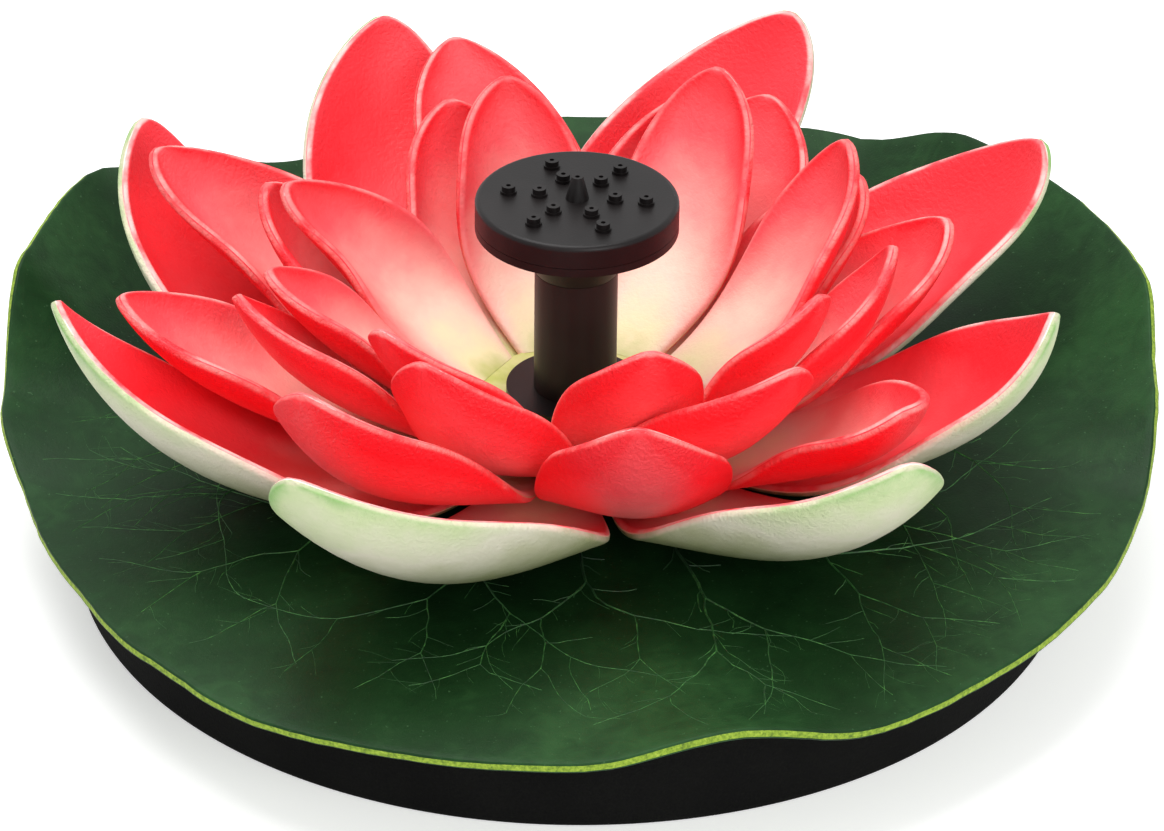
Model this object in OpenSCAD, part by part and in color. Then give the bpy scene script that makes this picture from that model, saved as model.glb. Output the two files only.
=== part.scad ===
// Floating lotus fountain: a foam float with a leaf and four flower sheets, a stem with a
// spray head, and a small pump in the float's well. Lengths are in millimetres, +Z is up,
// the stem's axis is the Z axis, and the float's underside is at Z = 0.

/* [Float] */
// Radius of the foam float
float_r = 95; // [88:0.5:100]
// Thickness of the foam float
float_h = 21.6; // [21.4:0.1:24]
// Rounding of the float's upper and lower edges
float_edge_r = 1.2; // [0.6:0.1:2]
// Width of the pocket in the well that the lead's gland sits in
gland_pocket_w = 14; // [12.5:0.5:18]

/* [Leaf] */
// Radius of the leaf
leaf_r = 112; // [106:0.5:118]
// Thickness of the leaf's foam sheet
leaf_t = 2; // [1.6:0.1:2.2]
// Radius at which the leaf leaves the float and starts to wave
leaf_flat_r = 72; // [60:1:80]
// Highest rise of the leaf's rim
leaf_rise = 25; // [4:0.5:30]

/* [Flower sheets] */
// Thickness of a petal
petal_t = 2.2; // [1.9:0.1:2.3]
// Thickness of the middle of a sheet, where the collar squeezes it
hub_t = 1.9; // [1.6:0.1:1.9]
// Radius at which the slits between the petals end
hub_r = 18.5; // [17:0.5:20]
// Half the width of a petal where it leaves the middle of its sheet
petal_root_half_w = 6.3; // [6:0.1:6.8]
// Least gap between two sheets, and between the lowest sheet and the leaf
sheet_gap = 0.3; // [0.3:0.05:0.4]
// Length of an outer petal along its middle
outer_petal_l = 98; // [80:1:100]
// Half the greatest width of an outer petal
outer_petal_half_w = 23; // [18:0.1:23]
// Radius of an outer petal's cup
outer_cup_r = 23.5; // [20:0.5:30]
// Length of a petal of the second sheet along its middle
second_petal_l = 82; // [70:1:82]
// Half the greatest width of a petal of the second sheet
second_petal_half_w = 19.5; // [16:0.1:19.5]
// Radius of the cup of a petal of the second sheet
second_cup_r = 17.5; // [15:0.5:22]
// Length of a petal of the third sheet along its middle
third_petal_l = 63; // [52:1:64]
// Half the greatest width of a petal of the third sheet
third_petal_half_w = 16.3; // [13:0.1:16.5]
// Radius of the cup of a petal of the third sheet
third_cup_r = 14.5; // [12:0.5:20]
// Length of an inner petal along its middle
inner_petal_l = 60; // [50:1:60]
// Half the greatest width of an inner petal
inner_petal_half_w = 15; // [12:0.1:15.2]
// Radius of an inner petal's cup
inner_cup_r = 13.5; // [11:0.5:18]

/* [Stem] */
// Radius of the collar's flange
collar_r = 13; // [11:0.1:15]
// Thickness of the collar's flange
collar_flange_t = 2.2; // [1.8:0.1:3]
// Wall of the collar's sleeve
collar_sleeve_wall = 2; // [1.4:0.1:2.4]
// Outer radius of the riser tube
riser_r = 7.8; // [7.2:0.1:8.4]
// Length of the riser tube
riser_l = 25; // [22:0.5:40]
// Depth of the socket at either end of the riser tube
riser_socket_l = 9; // [7:0.5:10]
// Radius of the water way through the stem
water_r = 4.5; // [3.5:0.1:4.8]

/* [Spray head] */
// Radius of the spray head
head_r = 19; // [16:0.1:24]
// Height of the spray head's side
head_h = 6.2; // [5.4:0.1:9]
// Wall of the spray head
head_wall = 1.5; // [1.2:0.1:2]
// Height of the flared neck under the head
neck_h = 8.7; // [6:0.1:12]
// Radius of the flared neck where it meets the head
neck_top_r = 11.5; // [9:0.1:14]
// Radius of the inner ring of jets
inner_jet_ring_r = 7.1; // [6:0.1:8]
// Radius of the outer ring of jets
outer_jet_ring_r = 12.9; // [11:0.1:14]
// Radius of a small jet's stub
jet_r = 1.55; // [1.2:0.05:1.9]
// Height of a small jet's stub
jet_h = 1.5; // [1:0.1:2.5]
// Radius of a small jet's hole
jet_hole_r = 0.45; // [0.3:0.05:0.7]
// Radius of the foot of the middle jet
middle_jet_r = 2.4; // [2:0.1:3]
// Height of the middle jet
middle_jet_h = 4.5; // [3:0.1:6]

/* [Pump] */
// Outer radius of the pump's housing
pump_r = 25; // [24.5:0.1:27]
// Wall of the pump's housing
pump_wall = 1.8; // [1.4:0.1:2]
// Height of the housing's shoulder above the float's underside
pump_shoulder_z = 17; // [16.6:0.1:17.4]
// Outer radius of the dome that stands on the shoulder
dome_r = 20.4; // [19.8:0.1:21]
// Height of the dome's top above the float's underside
dome_z = 21.4; // [21.2:0.1:21.8]
// Radius of the outlet spigot
spigot_r = 6; // [5.8:0.1:6.4]
// Length of the spigot that stands in the riser's socket
spigot_reach = 8.8; // [6:0.1:9]
// Radius of the impeller
impeller_r = 15; // [12:0.1:15.5]
// Height of an impeller vane
vane_h = 2; // [1.5:0.1:2.1]
// Number of impeller vanes
vane_count = 6; // [3:1:8]
// Outer radius of the rotor's ring magnet
magnet_r = 5; // [4.4:0.1:5.1]
// Radius of the fixed shaft
shaft_r = 1; // [0.8:0.05:1.2]
// Radius of the hole in the gland for the panel's lead
lead_hole_r = 1.7; // [1.4:0.1:2]

/* [Fits] */
// Radial clearance of a push fit that comes apart by hand
push_fit = 0.04; // [0.03:0.01:0.06]
// Radial clearance of the rotor on its shaft
running_fit = 0.04; // [0.03:0.01:0.06]
// Gap between two parts that rest together
seat_gap = 0.1; // [0.05:0.01:0.15]

/* [Hidden] */
$fn = 96;
// Sides of small round details and of the seal's cord
small_sides = 32;
cord_sides = 24;
// Overrun of every cut past the face it goes through
cut = 1;
full_turn = 360;
quarter_turn = 90;
half_turn = 180;

// Colours
foam_black = [0.10, 0.10, 0.10];
leaf_green = [0.08, 0.22, 0.12];
petal_white_green = [0.85, 0.93, 0.78];
petal_red = [0.95, 0.20, 0.25];
plastic_black = [0.07, 0.07, 0.08];
plastic_grey = [0.35, 0.36, 0.38];
steel = [0.70, 0.71, 0.73];
copper = [0.78, 0.45, 0.22];
board_green = [0.10, 0.40, 0.22];
sponge_blue = [0.25, 0.35, 0.50];
rubber_black = [0.12, 0.12, 0.12];

// Heights of the stack on the stem, from the float upwards
leaf_z = float_h + sheet_gap;
leaf_top_z = leaf_z + leaf_t;
sheet_pitch = hub_t + sheet_gap;
outer_hub_z = leaf_top_z + sheet_gap;
second_hub_z = outer_hub_z + sheet_pitch;
third_hub_z = second_hub_z + sheet_pitch;
inner_hub_z = third_hub_z + sheet_pitch;
collar_flange_z = inner_hub_z + hub_t + seat_gap;
collar_top_z = collar_flange_z + collar_flange_t;
riser_z = collar_top_z + seat_gap;
spigot_z = riser_z + spigot_reach;
riser_top_z = riser_z + riser_l;
neck_z = riser_top_z + seat_gap;
head_z = neck_z + neck_h;
head_top_z = head_z + head_h;

// Radii that fit on each other along the stem
collar_bore_r = spigot_r + push_fit;
collar_sleeve_r = collar_bore_r + collar_sleeve_wall;
sheet_bore_clearance = 0.5;
sheet_bore_r = collar_sleeve_r + sheet_bore_clearance;
riser_socket_r = spigot_r + push_fit;

// Pump: heights from the float's underside upwards
pump_clearance = 0.5;
pump_foot_z = 1.4;
screen_z = 0.8;
screen_t = 1.2;
filter_z = 2.1;
filter_t = 1.9;
inlet_z = 4.2;
inlet_t = 1.2;
vane_z = 5.9;
shroud_t = 0.8;
pod_z = 9;
pod_floor_t = 1;
pod_top_z = 15.2;
pod_lid_t = 1;
shoulder_t = 1.6;
dome_roof_t = 1.6;
housing_bore_r = pump_r - pump_wall;
dome_bore_r = dome_r - shoulder_t;
shoulder_under_z = pump_shoulder_z - shoulder_t;

// Pump: the sealed pod and what it holds
pod_r = 15.5;
pod_wall = 1.6;
pod_bore_r = pod_r - pod_wall;
can_gap = 0.6;
can_wall = 0.7;
can_bore_r = magnet_r + can_gap;
can_r = can_bore_r + can_wall;
can_roof_z = 13.9;
can_roof_t = 0.9;
rib_w = 2.2;
rib_z = 10;
inside_gap = 0.3;
seal_cord_r = 0.5;
seal_groove_depth_share = 0.6;
pole_count = 6;
core_z = 10.9;
core_t = 1.8;
core_yoke_w = 1.6;
pole_w = 2.6;
pole_shoe_w = 4.2;
pole_shoe_t = 0.9;
coil_t = 0.8;
coil_gap = 0.1;
board_z = 14;
board_t = 0.6;
chip_w = 3;
chip_l = 4;
chip_t = 0.4;

// Pump: the rotor
sleeve_wall = 1.5;
rotor_bore_r = shaft_r + running_fit;
sleeve_r = rotor_bore_r + sleeve_wall;
magnet_z = 9.6;
magnet_h = 3.8;
sleeve_top_z = magnet_z + magnet_h;
shroud_z = vane_z + vane_h;
vane_t = 1;
vane_inner_r = 4.4;
vane_bend_r = 16;
// How far the vanes' ends stay inside the shroud's rim
vane_inset = 0.5;

// Pump: bushes, inlet and screws
bush_wall = 1;
bush_r = shaft_r + push_fit + bush_wall;
upper_bush_z = sleeve_top_z + inside_gap;
upper_bush_top_z = can_roof_z + can_roof_t - inside_gap;
shaft_top_z = upper_bush_top_z;
inlet_eye_r = 6.5;
inlet_hub_r = 3.4;
spoke_w = 1.4;
spoke_count = 3;
bush_flange_t = 0.2;
screw_count = 3;
screw_ring_r = 19.4;
screw_r = 0.9;
screw_head_r = 1.7;
screw_head_t = 1.2;
screw_l = 6.4;
screw_slot_w = 0.5;
pillar_r = 2.3;
pillar_turn = 60;
slot_w = 1.6;
slot_pitch = 3.4;
screen_rim_w = 1;
screen_rib_w = 3;
filter_r = 16.8;

// Pump: the gland of the panel's lead
gland_y = 28.4;
gland_wall = 1.5;
gland_r = lead_hole_r + gland_wall;
gland_boss_wall = 1.3;
gland_boss_r = gland_r + gland_boss_wall;
gland_boss_top_z = 14;
gland_l = 9;
gland_rib_r = 1.15;
gland_rib_depth = 0.25;

// Float: the well
ledge_clearance = 0.2;
well_r = pump_r + pump_clearance;
well_top_z = pump_shoulder_z + ledge_clearance;
well_neck_r = dome_r + pump_clearance;

// Spray head: details
plug_l = riser_socket_l - seat_gap;
plug_r = riser_socket_r - push_fit;
head_edge_r = 1;
edge_sides = 48;
plate_t = 1.6;
cup_floor_t = 1.6;
cup_ring_wall = 1.4;
cup_ring_gap = 0.15;
// A small jet is a narrower stub on a low foot
jet_foot_h = 0.5;
jet_stub_share = 0.82;
middle_jet_tip_share = 0.45;
jet_line_turn = -8;
jets_per_ring = 6;

// Flower sheets: how a petal is drawn. Azimuths are in degrees from the front, towards +X.
petals = 8;
petal_pitch = full_turn / petals;
petal_rows = 12;
petal_columns = 6;
// Rows of points lie closer together towards the tip
petal_row_power = 1.5;
// Share of a petal's length at which it is widest
widest_share = 0.56;
root_power = 1.1;
tip_power = 0.66;
// Share of a petal's length at which its cup is full, and its roll
cup_full_share = 0.8;
roll_full_share = 0.55;
full_thickness_share = 0.25;
// How late a petal turns up and bends sideways along its length
outer_bend_power = 1.95;
bend_power = 1.7;
sweep_power = 2.2;
// How sharply the cup deepens from the root on, and its least share there
cup_power = 2;
least_cup_share = 0.05;
hub_overlap = 0.7;

outer_root_slope = 2;
outer_first_root = -12;
outer_azimuths = [-30, -74, -118, -156, -205, -246, -290, -323];
outer_tip_slopes = [76, 78, 80, 80, 81, 79, 88, 77];
outer_rolls = [11, 0, 0, 0, 0, 0, 4, -11];
outer_length_shares = [0.98, 1, 0.98, 1, 1.03, 1, 0.97, 0.98];

second_root_slope = 9;
second_first_root = -32;
second_azimuths = [-36, -74, -110, -163, -209, -258, -316, -351];
second_tip_slopes = [79, 64, 69, 66, 66, 76, 67, 86];
second_rolls = [8, 0, 0, 0, 0, 0, 0, -8];
second_length_shares = [1, 1, 1.02, 1, 0.88, 0.84, 0.97, 0.88];

third_root_slope = 18;
third_first_root = -18;
third_azimuths = [-27, -69, -109, -156, -203, -241, -274, -321];
third_tip_slopes = [90, 71, 76, 76, 76, 75, 86, 79];
third_rolls = [6, 6, 0, 0, 0, 0, 0, -8];
third_length_shares = [1, 1, 0.96, 0.95, 1, 0.93, 0.95, 0.98];

inner_root_slope = 28;
inner_first_root = -30;
inner_azimuths = [-40, -74, -104, -165, -207, -245, -301, -344];
inner_tip_slopes = [79, 63, 72, 82, 78, 84, 84, 90];
inner_rolls = [0, 0, 0, 0, 0, 0, -4, -6];
inner_length_shares = [0.9, 0.92, 0.93, 0.96, 1.04, 1.01, 0.88, 0.86];

// Leaf: rise of the rim as shares of leaf_rise, and its radius as shares of leaf_r, every
// 15 degrees from the back over the left to the front and on over the right.
leaf_rise_shares = [0.40, 0.32, 0.28, 0.56, 1.00, 0.92, 0.24, 0, 0, 0, -0.04, -0.04, 0, 0.18,
  -0.02, 0.02, 0.06, 0.12, 0.56, 0.92, 0.92, 0.92, 0.56, 0.44];
leaf_radius_shares = [0.995, 1, 1, 1.005, 1, 0.985, 0.97, 0.935, 0.94, 0.965, 0.985, 0.975, 0.98,
  0.975, 0.985, 0.98, 0.98, 0.975, 0.98, 1.005, 1.01, 1.01, 1, 1];
leaf_ring_shares = [0, 0.2, 0.45, 0.65, 0.85, 1];
leaf_spokes = 48;
leaf_rise_power = 2;
// Where the rim hangs down, the leaf starts to bend this far outside the float
leaf_droop_clearance = 1;

// A closed skin over a grid of points: rows of the upper face, then rows of the lower face
function skin_faces(rows, columns) = let (
  w = columns + 1,
  under = (rows + 1) * w
) concat(
  [for (i = [0:rows - 1], j = [0:columns - 1]) [i * w + j, (i + 1) * w + j + 1, (i + 1) * w + j]],
  [for (i = [0:rows - 1], j = [0:columns - 1]) [i * w + j, i * w + j + 1, (i + 1) * w + j + 1]],
  [for (i = [0:rows - 1], j = [0:columns - 1])
    [under + i * w + j, under + (i + 1) * w + j, under + (i + 1) * w + j + 1]],
  [for (i = [0:rows - 1], j = [0:columns - 1])
    [under + i * w + j, under + (i + 1) * w + j + 1, under + i * w + j + 1]],
  [for (i = [0:rows - 1]) [i * w, (i + 1) * w, under + (i + 1) * w]],
  [for (i = [0:rows - 1]) [i * w, under + (i + 1) * w, under + i * w]],
  [for (i = [0:rows - 1]) [i * w + columns, under + (i + 1) * w + columns, (i + 1) * w + columns]],
  [for (i = [0:rows - 1]) [i * w + columns, under + i * w + columns, under + (i + 1) * w + columns]],
  [for (j = [0:columns - 1]) [j, under + j + 1, j + 1]],
  [for (j = [0:columns - 1]) [j, under + j, under + j + 1]],
  [for (j = [0:columns - 1]) [rows * w + j, rows * w + j + 1, under + rows * w + j + 1]],
  [for (j = [0:columns - 1]) [rows * w + j, under + rows * w + j + 1, under + rows * w + j]]
);

// Rise from 0 to 1 over a share, easing out at its end
function ease(u, full_share) = sin(quarter_turn * min(u / full_share, 1));

// Share of the petal's length at a row of points
function row_share(i) = 1 - pow(1 - i / petal_rows, petal_row_power);

// Slope of the petal's middle line at a share of its length, in degrees
function slope_at(u, root_slope, tip_slope, power) =
  root_slope + (tip_slope - root_slope) * pow(u, power);

// Distance out from the root and height above it, at a row of the middle line
function middle_line(i, l, root_slope, tip_slope, power) = i == 0 ? [0, 0] : let (
  before = middle_line(i - 1, l, root_slope, tip_slope, power),
  u0 = row_share(i - 1),
  u1 = row_share(i),
  s = slope_at((u0 + u1) / 2, root_slope, tip_slope, power),
  step = l * (u1 - u0)
) [before[0] + step * cos(s), before[1] + step * sin(s)];

// Half the petal's width at a share of its length
function half_width(u, half_w) = u < widest_share
  ? petal_root_half_w + (half_w - petal_root_half_w) * pow(ease(u, widest_share), root_power)
  : half_w * pow(max(1 - pow((u - widest_share) / (1 - widest_share), 2), 0), tip_power);

// One point of a petal: side 1 is its inner face, -1 its outer face
function petal_point(i, j, side, z, l, half_w, cup_r, root_slope, power, root_azimuth,
    azimuth, tip_slope, roll) = let (
  u = row_share(i),
  v = 2 * j / petal_columns - 1,
  middle = middle_line(i, l, root_slope, tip_slope, power),
  s = slope_at(u, root_slope, tip_slope, power),
  a = root_azimuth + (azimuth - root_azimuth) * pow(u, sweep_power),
  outward = [sin(a), -cos(a), 0],
  across = [cos(a), sin(a), 0],
  inward = -sin(s) * outward + cos(s) * [0, 0, 1],
  turn = roll * ease(u, roll_full_share),
  chord = cos(turn) * across + sin(turn) * inward,
  face = cos(turn) * inward - sin(turn) * across,
  curve_r = cup_r / pow(max(ease(u, cup_full_share), least_cup_share), cup_power),
  bend = v * half_width(u, half_w) / curve_r * half_turn / PI,
  thickness = hub_t + (petal_t - hub_t) * min(u / full_thickness_share, 1),
  normal = cos(bend) * face - sin(bend) * chord
) (hub_r - hub_overlap + middle[0]) * outward + [0, 0, z + hub_t / 2 + middle[1]]
  + curve_r * sin(bend) * chord + curve_r * (1 - cos(bend)) * face
  + side * thickness / 2 * normal;

module petal(z, l, half_w, cup_r, root_slope, power, root_azimuth, azimuth, tip_slope, roll) {
  points = [for (side = [1, -1], i = [0:petal_rows], j = [0:petal_columns])
    petal_point(i, j, side, z, l, half_w, cup_r, root_slope, power, root_azimuth,
      azimuth, tip_slope, roll)];
  polyhedron(points, skin_faces(petal_rows, petal_columns));
}

// One die-cut sheet: a ring round the collar's sleeve with eight petals
module flower_sheet(z, l, half_w, cup_r, root_slope, power, first_root, azimuths, tip_slopes,
    rolls, length_shares) {
  difference() {
    translate([0, 0, z]) cylinder(h = hub_t, r = hub_r);
    translate([0, 0, z - cut]) cylinder(h = hub_t + 2 * cut, r = sheet_bore_r);
  }
  for (k = [0:petals - 1])
    petal(z, l * length_shares[k], half_w, cup_r, root_slope, power,
      first_root - k * petal_pitch, azimuths[k], tip_slopes[k], rolls[k]);
}

module float_base() {
  color(foam_black) difference() {
    rotate_extrude() difference() {
      square([float_r, float_h]);
      for (z = [0, float_h]) translate([float_r, z]) rotate(quarter_turn / 2)
        square(float_edge_r * sqrt(2), center = true);
    }
    translate([0, 0, -cut]) cylinder(h = well_top_z + cut, r = well_r);
    translate([0, 0, -cut]) cylinder(h = float_h + 2 * cut, r = well_neck_r);
    translate([-gland_pocket_w / 2, 0, -cut])
      cube([gland_pocket_w, gland_y + gland_boss_r + pump_clearance, well_top_z + cut]);
  }
}

// Value of a table that goes round the leaf, at a spoke
function round_value(table, spoke) = let (
  place = spoke * len(table) / leaf_spokes,
  low = floor(place),
  part = place - low,
  mix = (1 - cos(half_turn * part)) / 2
) table[low % len(table)] * (1 - mix) + table[(low + 1) % len(table)] * mix;

function leaf_point(ring, spoke, z) = let (
  a = -half_turn + spoke * full_turn / leaf_spokes,
  edge_r = leaf_r * round_value(leaf_radius_shares, spoke),
  r = sheet_bore_r + (edge_r - sheet_bore_r) * leaf_ring_shares[ring],
  share = round_value(leaf_rise_shares, spoke),
  bend_r = share < 0 ? float_r + leaf_droop_clearance : leaf_flat_r,
  out = max(r - bend_r, 0) / (edge_r - bend_r),
  rise = leaf_rise * share * pow(out, leaf_rise_power)
) [r * sin(a), -r * cos(a), z + rise];

module leaf_pad() {
  rings = len(leaf_ring_shares);
  n = leaf_spokes;
  under = rings * n;
  points = [for (z = [leaf_top_z, leaf_z], i = [0:rings - 1], k = [0:n - 1])
    leaf_point(i, k, z)];
  faces = concat(
    [for (i = [0:rings - 2], k = [0:n - 1])
      [i * n + k, (i + 1) * n + k, (i + 1) * n + (k + 1) % n]],
    [for (i = [0:rings - 2], k = [0:n - 1])
      [i * n + k, (i + 1) * n + (k + 1) % n, i * n + (k + 1) % n]],
    [for (i = [0:rings - 2], k = [0:n - 1])
      [under + i * n + k, under + (i + 1) * n + (k + 1) % n, under + (i + 1) * n + k]],
    [for (i = [0:rings - 2], k = [0:n - 1])
      [under + i * n + k, under + i * n + (k + 1) % n, under + (i + 1) * n + (k + 1) % n]],
    [for (k = [0:n - 1]) [k, (k + 1) % n, under + (k + 1) % n]],
    [for (k = [0:n - 1]) [k, under + (k + 1) % n, under + k]],
    [for (k = [0:n - 1])
      [(rings - 1) * n + k, under + (rings - 1) * n + (k + 1) % n, (rings - 1) * n + (k + 1) % n]],
    [for (k = [0:n - 1])
      [(rings - 1) * n + k, under + (rings - 1) * n + k, under + (rings - 1) * n + (k + 1) % n]]
  );
  color(leaf_green) polyhedron(points, faces);
}

module outer_petals() {
  color(petal_white_green) flower_sheet(outer_hub_z, outer_petal_l, outer_petal_half_w,
    outer_cup_r, outer_root_slope, outer_bend_power, outer_first_root, outer_azimuths,
    outer_tip_slopes, outer_rolls, outer_length_shares);
}

module second_petals() {
  color(petal_red) flower_sheet(second_hub_z, second_petal_l, second_petal_half_w,
    second_cup_r, second_root_slope, bend_power, second_first_root, second_azimuths,
    second_tip_slopes, second_rolls, second_length_shares);
}

module third_petals() {
  color(petal_red) flower_sheet(third_hub_z, third_petal_l, third_petal_half_w,
    third_cup_r, third_root_slope, bend_power, third_first_root, third_azimuths,
    third_tip_slopes, third_rolls, third_length_shares);
}

module inner_petals() {
  color(petal_red) flower_sheet(inner_hub_z, inner_petal_l, inner_petal_half_w,
    inner_cup_r, inner_root_slope, bend_power, inner_first_root, inner_azimuths,
    inner_tip_slopes, inner_rolls, inner_length_shares);
}

// A plain tube between two heights
module tube(z0, z1, r_out, r_in) {
  translate([0, 0, z0]) difference() {
    cylinder(h = z1 - z0, r = r_out);
    translate([0, 0, -cut]) cylinder(h = z1 - z0 + 2 * cut, r = r_in);
  }
}

module stem_collar() {
  color(plastic_black) difference() {
    union() {
      translate([0, 0, collar_flange_z]) cylinder(h = collar_flange_t, r = collar_r);
      translate([0, 0, dome_z + seat_gap])
        cylinder(h = collar_top_z - dome_z - seat_gap, r = collar_sleeve_r);
    }
    translate([0, 0, dome_z]) cylinder(h = collar_top_z - dome_z + cut, r = collar_bore_r);
  }
}

module riser_tube() {
  color(plastic_black) difference() {
    translate([0, 0, riser_z]) cylinder(h = riser_l, r = riser_r);
    translate([0, 0, riser_z - cut]) cylinder(h = riser_l + 2 * cut, r = water_r);
    translate([0, 0, riser_z - cut]) cylinder(h = riser_socket_l + cut, r = riser_socket_r);
    translate([0, 0, riser_top_z - riser_socket_l])
      cylinder(h = riser_socket_l + cut, r = riser_socket_r);
  }
}

module spray_cup() {
  ring_r = head_r - head_wall - cup_ring_gap;
  color(plastic_black) difference() {
    union() {
      translate([0, 0, neck_z - plug_l]) cylinder(h = plug_l + seat_gap, r = plug_r);
      translate([0, 0, neck_z]) cylinder(h = neck_h, r1 = riser_r, r2 = neck_top_r);
      translate([0, 0, head_z]) cylinder(h = cup_floor_t, r = head_r);
      tube(head_z, head_top_z - plate_t - seat_gap, ring_r, ring_r - cup_ring_wall);
    }
    translate([0, 0, neck_z - plug_l - cut])
      cylinder(h = plug_l + neck_h + cup_floor_t + 2 * cut, r = water_r);
  }
}

// Places of the small jets: six lines, a jet in each ring
jet_places = [for (ring_r = [inner_jet_ring_r, outer_jet_ring_r], k = [0:jets_per_ring - 1])
  let (a = jet_line_turn + k * full_turn / jets_per_ring) [ring_r * cos(a), ring_r * sin(a)]];

module spray_plate() {
  skirt_z = head_z + cup_floor_t + seat_gap;
  color(plastic_black) difference() {
    union() {
      rotate_extrude() difference() {
        translate([0, skirt_z]) square([head_r, head_top_z - skirt_z]);
        translate([0, skirt_z - cut])
          square([head_r - head_wall, head_top_z - plate_t - skirt_z + cut]);
        translate([head_r - head_edge_r, head_top_z - head_edge_r]) difference() {
          square(head_edge_r + cut);
          circle(r = head_edge_r, $fn = edge_sides);
        }
      }
      for (p = jet_places) translate([p[0], p[1], 0]) {
        translate([0, 0, head_top_z - plate_t / 2])
          cylinder(h = plate_t / 2 + jet_foot_h, r = jet_r, $fn = small_sides);
        translate([0, 0, head_top_z]) cylinder(h = jet_h, r = jet_r * jet_stub_share,
          $fn = small_sides);
      }
      translate([0, 0, head_top_z - plate_t / 2])
        cylinder(h = middle_jet_h + plate_t / 2, r1 = middle_jet_r,
          r2 = middle_jet_r * middle_jet_tip_share, $fn = small_sides);
    }
    for (p = concat([[0, 0]], jet_places)) translate([p[0], p[1], head_z])
      cylinder(h = head_h + middle_jet_h + cut, r = jet_hole_r, $fn = cord_sides);
  }
}

// Copies round the axis, starting from a turn
module around(count, start = 0) {
  for (k = [0:count - 1]) rotate(start + k * full_turn / count) children();
}

module pump_housing() {
  color(plastic_black) difference() {
    union() {
      difference() {
        union() {
          translate([0, 0, pump_foot_z]) cylinder(h = pump_shoulder_z - pump_foot_z, r = pump_r);
          translate([0, 0, pump_shoulder_z - cut])
            cylinder(h = dome_z - pump_shoulder_z + cut, r = dome_r);
          translate([0, gland_y, pump_foot_z])
            cylinder(h = gland_boss_top_z - pump_foot_z, r = gland_boss_r);
          translate([-gland_boss_r, pump_r - pump_wall, pump_foot_z])
            cube([2 * gland_boss_r, gland_y - pump_r + pump_wall, gland_boss_top_z - pump_foot_z]);
        }
        translate([0, 0, pump_foot_z - cut])
          cylinder(h = shoulder_under_z - pump_foot_z + cut, r = housing_bore_r);
        translate([0, 0, pump_foot_z])
          cylinder(h = dome_z - dome_roof_t - pump_foot_z, r = dome_bore_r);
      }
      translate([0, 0, dome_z - cut]) cylinder(h = spigot_z - dome_z + cut, r = spigot_r);
      around(screw_count, pillar_turn) translate([screw_ring_r, 0, inlet_z + inlet_t])
        cylinder(h = pump_shoulder_z - shoulder_t / 2 - inlet_z - inlet_t, r = pillar_r);
    }
    translate([0, 0, pump_shoulder_z]) cylinder(h = spigot_z, r = water_r);
    around(screw_count, pillar_turn) translate([screw_ring_r, 0, inlet_z])
      cylinder(h = screw_l, r = screw_r, $fn = small_sides);
    translate([0, gland_y, pump_foot_z - cut]) cylinder(h = gland_l + cut, r = gland_r + push_fit);
  }
}

module motor_pod() {
  color(plastic_grey) difference() {
    union() {
      difference() {
        translate([0, 0, pod_z]) cylinder(h = pod_top_z - pod_z, r = pod_r);
        translate([0, 0, pod_z + pod_floor_t]) difference() {
          cylinder(h = pod_top_z - pod_z, r = pod_bore_r);
          translate([0, 0, -cut])
            cylinder(h = can_roof_z + can_roof_t - pod_z - pod_floor_t + cut, r = can_r);
        }
      }
      around(spoke_count, -quarter_turn) intersection() {
        translate([pod_bore_r + pod_wall / 2, -rib_w / 2, rib_z])
          cube([pump_r, rib_w, shoulder_under_z - rib_z - seat_gap]);
        cylinder(h = pump_shoulder_z, r = housing_bore_r - seat_gap);
      }
    }
    translate([0, 0, pod_z - cut]) cylinder(h = can_roof_z - pod_z + cut, r = can_bore_r);
    translate([0, 0, can_roof_z - cut])
      cylinder(h = upper_bush_top_z - can_roof_z + cut, r = bush_r + push_fit);
    seal_groove(pod_top_z);
  }
}

// The groove that the pod's seal sits in
module seal_groove(z) {
  translate([0, 0, z]) rotate_extrude()
    translate([pod_r - pod_wall / 2, 0]) circle(r = seal_cord_r + push_fit, $fn = cord_sides);
}

module pod_seal() {
  color(rubber_black) translate([0, 0, pod_top_z]) rotate_extrude()
    translate([pod_r - pod_wall / 2, 0]) circle(r = seal_cord_r, $fn = cord_sides);
}

module pod_lid() {
  color(plastic_grey) difference() {
    union() {
      translate([0, 0, pod_top_z + seat_gap]) cylinder(h = pod_lid_t, r = pod_r);
    }
    seal_groove(pod_top_z);
  }
}

module stator_core() {
  core_r = pod_bore_r - inside_gap;
  color(steel) translate([0, 0, core_z]) {
    difference() {
      cylinder(h = core_t, r = core_r);
      translate([0, 0, -cut]) cylinder(h = core_t + 2 * cut, r = core_r - core_yoke_w);
    }
    around(pole_count) difference() {
      union() {
        translate([can_r + inside_gap, -pole_w / 2, 0])
          cube([core_r - core_yoke_w / 2 - can_r - inside_gap, pole_w, core_t]);
        translate([can_r, -pole_shoe_w / 2, 0])
          cube([pole_shoe_t + inside_gap, pole_shoe_w, core_t]);
      }
      translate([0, 0, -cut]) cylinder(h = core_t + 2 * cut, r = can_r + inside_gap);
    }
  }
}

module stator_coils() {
  inner_r = can_r + inside_gap + pole_shoe_t + coil_gap;
  outer_r = pod_bore_r - inside_gap - core_yoke_w - 2 * coil_gap;
  hole_w = pole_w + 2 * coil_gap;
  hole_h = core_t + 2 * coil_gap;
  color(copper) around(pole_count) translate([inner_r, 0, core_z + core_t / 2]) difference() {
    translate([0, -hole_w / 2 - coil_t, -hole_h / 2 - coil_t])
      cube([outer_r - inner_r, hole_w + 2 * coil_t, hole_h + 2 * coil_t]);
    translate([-cut, -hole_w / 2, -hole_h / 2])
      cube([outer_r - inner_r + 2 * cut, hole_w, hole_h]);
  }
}

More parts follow.
